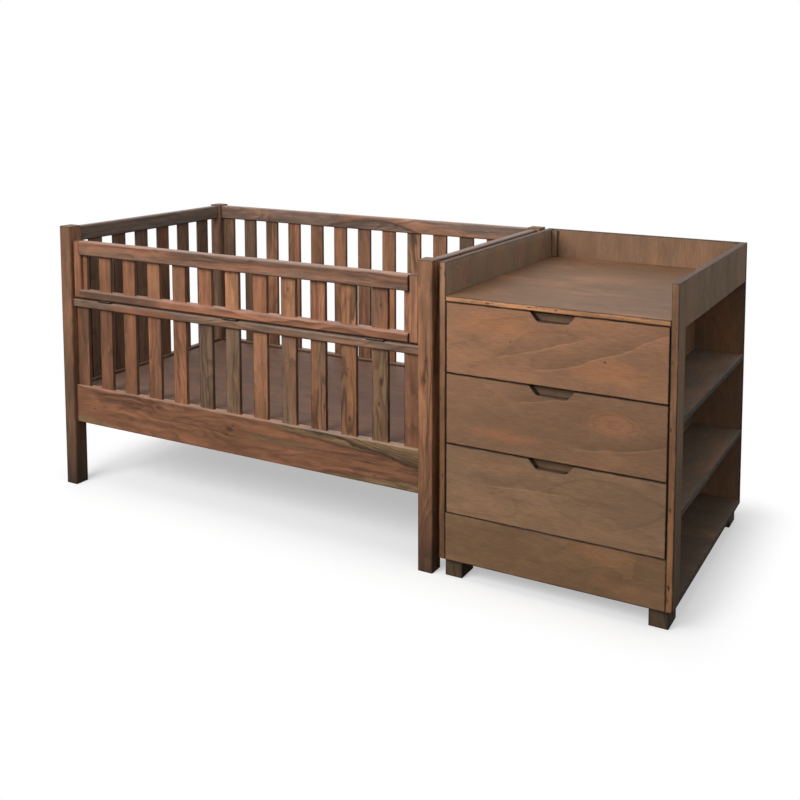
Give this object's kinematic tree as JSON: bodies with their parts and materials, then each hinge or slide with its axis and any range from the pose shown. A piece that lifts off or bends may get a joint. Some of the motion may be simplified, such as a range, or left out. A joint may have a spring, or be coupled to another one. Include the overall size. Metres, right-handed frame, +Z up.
{
  "type": "crib",
  "caption": "Slatted wooden crib with a fold-down front gate, joined end to end with a changing dresser that has a walled tray, drawers and an open side bookcase",
  "frame": {"origin": "centre of the bounding box at floor level", "axes": "+X along the length from the crib to the dresser, +Y from front to back, +Z up"},
  "size_m": [2.216, 0.8, 0.92],
  "materials": {
    "frame_wood": "oiled solid hardwood with a warm reddish tone",
    "slat_wood": "oiled solid hardwood, each slat its own tone",
    "rail_wood": "oiled solid hardwood, darker",
    "board_wood": "plain unfinished wood",
    "panel_wood": "oiled wood panel with a lighter edge",
    "drawer_wood": "plain sanded wood",
    "dark_steel": "dark satin steel"
  },
  "bodies": {
    "frame": {"post_front_left": "frame_wood", "post_front_right": "frame_wood", "post_back_left": "frame_wood", "post_back_right": "frame_wood", "front_lower_rail": "frame_wood", "front_middle_rail": "frame_wood", "hinge_gap_strip": "frame_wood", "front_slats": "slat_wood", "back_top_rail": "rail_wood", "back_lower_rail": "rail_wood", "back_slats": "slat_wood", "left_top_rail": "rail_wood", "left_lower_rail": "rail_wood", "left_slats": "slat_wood", "right_top_rail": "rail_wood", "right_lower_rail": "rail_wood", "right_slats": "slat_wood", "frame_dowels": "board_wood", "frame_screws": "dark_steel", "mattress_board": "board_wood", "board_cleats": "board_wood", "board_bearers": "board_wood", "hinge_frame_leaves": "dark_steel", "hinge_pins": "dark_steel", "dresser_left_side": "panel_wood", "dresser_right_side": "panel_wood", "dresser_back": "panel_wood", "tray_board": "panel_wood", "bottom_board": "panel_wood", "kick_board": "panel_wood", "partition": "panel_wood", "bookcase_front_wall": "panel_wood", "upper_shelf": "panel_wood", "lower_shelf": "panel_wood", "corner_battens": "panel_wood", "dresser_feet": "panel_wood", "drawer_runners": "board_wood", "link_bolts": "dark_steel", "link_spacers": "panel_wood"},
    "gate": {"gate_top_rail": "frame_wood", "gate_bottom_rail": "frame_wood", "gate_stiles": "frame_wood", "gate_slats": "slat_wood", "gate_dowels": "board_wood", "gate_screws": "dark_steel", "hinge_gate_leaves": "dark_steel", "latch_plates": "dark_steel"},
    "left_bolt": {"latch_bolt_left": "dark_steel"},
    "right_bolt": {"latch_bolt_right": "dark_steel"},
    "drawer_1": {"drawer_1_front": "panel_wood", "drawer_1_sides": "drawer_wood", "drawer_1_ends": "drawer_wood", "drawer_1_bottom": "drawer_wood"},
    "drawer_2": {"drawer_2_front": "panel_wood", "drawer_2_sides": "drawer_wood", "drawer_2_ends": "drawer_wood", "drawer_2_bottom": "drawer_wood"},
    "drawer_3": {"drawer_3_front": "panel_wood", "drawer_3_sides": "drawer_wood", "drawer_3_ends": "drawer_wood", "drawer_3_bottom": "drawer_wood"}
  },
  "joints": [
    {"name": "gate_fold", "type": "hinge", "parent": "frame", "child": "gate", "pos_m": [-0.358, -0.3948, 0.6692], "axis": [1, 0, 0], "range_deg": [0, 180]},
    {"name": "left_bolt_slide", "type": "slide", "parent": "gate", "child": "left_bolt", "axis": [-1, 0, 0], "range_m": [0, 0.018]},
    {"name": "right_bolt_slide", "type": "slide", "parent": "gate", "child": "right_bolt", "axis": [1, 0, 0], "range_m": [0, 0.018]},
    {"name": "drawer_1_slide", "type": "slide", "parent": "frame", "child": "drawer_1", "axis": [0, -1, 0], "range_m": [0, 0.4]},
    {"name": "drawer_2_slide", "type": "slide", "parent": "frame", "child": "drawer_2", "axis": [0, -1, 0], "range_m": [0, 0.4]},
    {"name": "drawer_3_slide", "type": "slide", "parent": "frame", "child": "drawer_3", "axis": [0, -1, 0], "range_m": [0, 0.4]}
  ]
}
